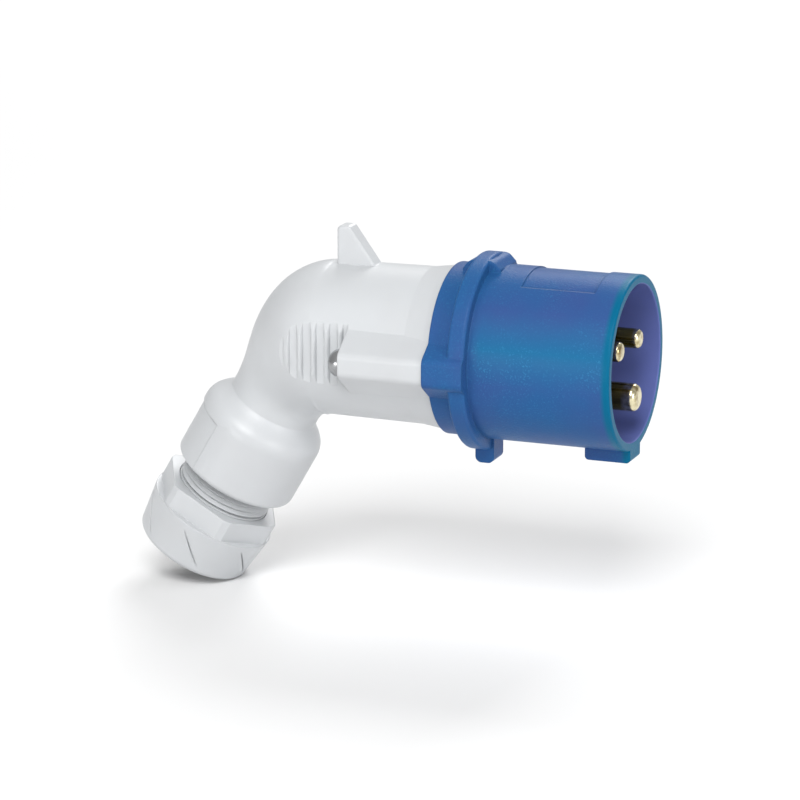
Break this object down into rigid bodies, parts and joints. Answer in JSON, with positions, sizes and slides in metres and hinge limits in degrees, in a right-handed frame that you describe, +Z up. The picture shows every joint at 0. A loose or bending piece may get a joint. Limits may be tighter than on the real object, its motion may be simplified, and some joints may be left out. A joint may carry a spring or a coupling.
{
  "type": "angled industrial plug",
  "caption": "Pin-and-sleeve industrial plug with a blue keyed shroud around round brass pins, a pale bent housing and a clamping cable gland.",
  "frame": {"origin": "centre of the flange's front face, on the shroud's axis, where the plug seats in a socket", "axes": "+X out of the mouth along the pins, +Z up through the top lug and the fin; the cable leg bends down in the XZ plane"},
  "size_m": [0.1336, 0.052, 0.0956],
  "materials": {
    "blue_shell": "satin, finely grained",
    "white_shell": "satin",
    "insert": "matte",
    "seal": "matte",
    "brass": "turned and polished",
    "steel": "bright zinc plated"
  },
  "bodies": {
    "root": {"front_body": "blue_shell", "angled_housing": "white_shell", "gland_nut": "white_shell", "pin_retainer": "insert", "gland_claw": "insert", "gland_seal": "seal", "line_pin": "brass", "neutral_pin": "brass", "earth_pin": "brass", "line_terminal_screw": "steel", "neutral_terminal_screw": "steel", "earth_terminal_screw": "steel", "retainer_screw": "steel", "housing_screws": "steel"}
  },
  "joints": []
}
